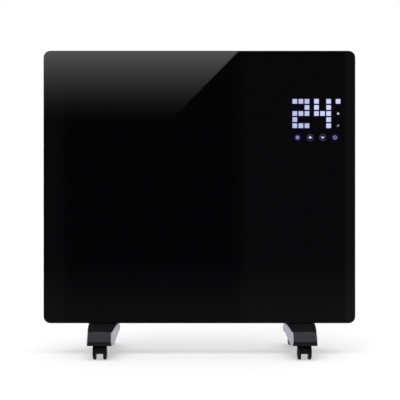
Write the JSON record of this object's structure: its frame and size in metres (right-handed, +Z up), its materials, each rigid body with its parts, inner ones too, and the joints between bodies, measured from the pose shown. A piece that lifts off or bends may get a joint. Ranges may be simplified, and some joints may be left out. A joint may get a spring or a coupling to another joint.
{
  "type": "electric panel heater",
  "caption": "Free-standing glass-fronted panel heater with a lit digit display and touch field, a slotted steel housing and arched feet on twin-wheel casters.",
  "frame": {"origin": "on the floor, under the middle of the glass and midway along the feet", "axes": "+X to the right as seen from the front, +Y towards the back, +Z up; the glass faces -Y"},
  "size_m": [0.5, 0.22, 0.487],
  "materials": {
    "black_glass": "polished, printed black from behind",
    "black_steel": "fine matt powder coat",
    "white_plastic": "plain",
    "circuit_board": "green solder mask",
    "copper_spring": "bare",
    "black_plastic": "fine moulded grain",
    "blue_plastic": "plain",
    "finned_aluminium": "bare extrusion",
    "white_ceramic": "unglazed ceramic",
    "zinc_steel": "bright zinc plate",
    "silver_trim": "satin silver paint",
    "wheel_plastic": "moulded tread"
  },
  "bodies": {
    "heater": {"glass_panel": "black_glass", "panel_frame": "black_steel", "rear_housing": "black_steel", "outlet_grille": "black_steel", "light_guide": "white_plastic", "terminal_block": "white_plastic", "room_sensor": "white_plastic", "display_board": "circuit_board", "power_board": "circuit_board", "touch_spring_mode": "copper_spring", "touch_spring_up": "copper_spring", "touch_spring_down": "copper_spring", "touch_spring_power": "copper_spring", "control_box": "black_plastic", "thermal_cutout": "black_plastic", "tip_switch_stand": "black_plastic", "switch_body": "black_plastic", "cord_gland": "black_plastic", "relay": "blue_plastic", "heating_element": "finned_aluminium", "element_end_cap_left": "white_ceramic", "element_end_cap_right": "white_ceramic", "element_bracket_left": "zinc_steel", "element_bracket_right": "zinc_steel", "heat_shield": "zinc_steel", "foot_core_left": "black_plastic", "foot_trim_inner_left": "silver_trim", "foot_trim_outer_left": "silver_trim", "foot_screw_front_left": "zinc_steel", "foot_screw_rear_left": "zinc_steel", "foot_core_right": "black_plastic", "foot_trim_inner_right": "silver_trim", "foot_trim_outer_right": "silver_trim", "foot_screw_front_right": "zinc_steel", "foot_screw_rear_right": "zinc_steel"},
    "switch_rocker": {"switch_rocker": "black_plastic"},
    "tip_switch_weight": {"tip_switch_weight": "zinc_steel"},
    "caster_front_left": {"caster_hood_front_left": "black_plastic", "caster_stem_front_left": "zinc_steel", "caster_axle_front_left": "zinc_steel"},
    "wheel_inner_front_left": {"caster_wheel_inner_front_left": "wheel_plastic"},
    "wheel_outer_front_left": {"caster_wheel_outer_front_left": "wheel_plastic"},
    "caster_rear_left": {"caster_hood_rear_left": "black_plastic", "caster_stem_rear_left": "zinc_steel", "caster_axle_rear_left": "zinc_steel"},
    "wheel_inner_rear_left": {"caster_wheel_inner_rear_left": "wheel_plastic"},
    "wheel_outer_rear_left": {"caster_wheel_outer_rear_left": "wheel_plastic"},
    "caster_front_right": {"caster_hood_front_right": "black_plastic", "caster_stem_front_right": "zinc_steel", "caster_axle_front_right": "zinc_steel"},
    "wheel_inner_front_right": {"caster_wheel_inner_front_right": "wheel_plastic"},
    "wheel_outer_front_right": {"caster_wheel_outer_front_right": "wheel_plastic"},
    "caster_rear_right": {"caster_hood_rear_right": "black_plastic", "caster_stem_rear_right": "zinc_steel", "caster_axle_rear_right": "zinc_steel"},
    "wheel_inner_rear_right": {"caster_wheel_inner_rear_right": "wheel_plastic"},
    "wheel_outer_rear_right": {"caster_wheel_outer_rear_right": "wheel_plastic"}
  },
  "joints": [
    {"name": "rocker_switch", "type": "hinge", "parent": "heater", "child": "switch_rocker", "pos_m": [0.2345, 0.0053, 0.12], "axis": [0, -1, 0], "range_deg": [0, 18]},
    {"name": "tip_weight_swing", "type": "hinge", "parent": "heater", "child": "tip_switch_weight", "pos_m": [-0.19, 0.0053, 0.0948], "axis": [1, 0, 0], "range_deg": [-30, 30]},
    {"name": "caster_swivel_front_left", "type": "hinge", "parent": "heater", "child": "caster_front_left", "pos_m": [-0.15505, -0.085, 0.0102], "axis": [0, 0, 1], "continuous": true},
    {"name": "wheel_spin_inner_front_left", "type": "hinge", "parent": "caster_front_left", "child": "wheel_inner_front_left", "pos_m": [-0.14695, -0.091, 0.0104], "axis": [1, 0, 0], "continuous": true},
    {"name": "wheel_spin_outer_front_left", "type": "hinge", "parent": "caster_front_left", "child": "wheel_outer_front_left", "pos_m": [-0.16315, -0.091, 0.0104], "axis": [1, 0, 0], "continuous": true},
    {"name": "caster_swivel_rear_left", "type": "hinge", "parent": "heater", "child": "caster_rear_left", "pos_m": [-0.15505, 0.085, 0.0102], "axis": [0, 0, 1], "continuous": true},
    {"name": "wheel_spin_inner_rear_left", "type": "hinge", "parent": "caster_rear_left", "child": "wheel_inner_rear_left", "pos_m": [-0.14695, 0.091, 0.0104], "axis": [1, 0, 0], "continuous": true},
    {"name": "wheel_spin_outer_rear_left", "type": "hinge", "parent": "caster_rear_left", "child": "wheel_outer_rear_left", "pos_m": [-0.16315, 0.091, 0.0104], "axis": [1, 0, 0], "continuous": true},
    {"name": "caster_swivel_front_right", "type": "hinge", "parent": "heater", "child": "caster_front_right", "pos_m": [0.16275, -0.085, 0.0102], "axis": [0, 0, 1], "continuous": true},
    {"name": "wheel_spin_inner_front_right", "type": "hinge", "parent": "caster_front_right", "child": "wheel_inner_front_right", "pos_m": [0.15465, -0.091, 0.0104], "axis": [1, 0, 0], "continuous": true},
    {"name": "wheel_spin_outer_front_right", "type": "hinge", "parent": "caster_front_right", "child": "wheel_outer_front_right", "pos_m": [0.17085, -0.091, 0.0104], "axis": [1, 0, 0], "continuous": true},
    {"name": "caster_swivel_rear_right", "type": "hinge", "parent": "heater", "child": "caster_rear_right", "pos_m": [0.16275, 0.085, 0.0102], "axis": [0, 0, 1], "continuous": true},
    {"name": "wheel_spin_inner_rear_right", "type": "hinge", "parent": "caster_rear_right", "child": "wheel_inner_rear_right", "pos_m": [0.15465, 0.091, 0.0104], "axis": [1, 0, 0], "continuous": true},
    {"name": "wheel_spin_outer_rear_right", "type": "hinge", "parent": "caster_rear_right", "child": "wheel_outer_rear_right", "pos_m": [0.17085, 0.091, 0.0104], "axis": [1, 0, 0], "continuous": true}
  ]
}
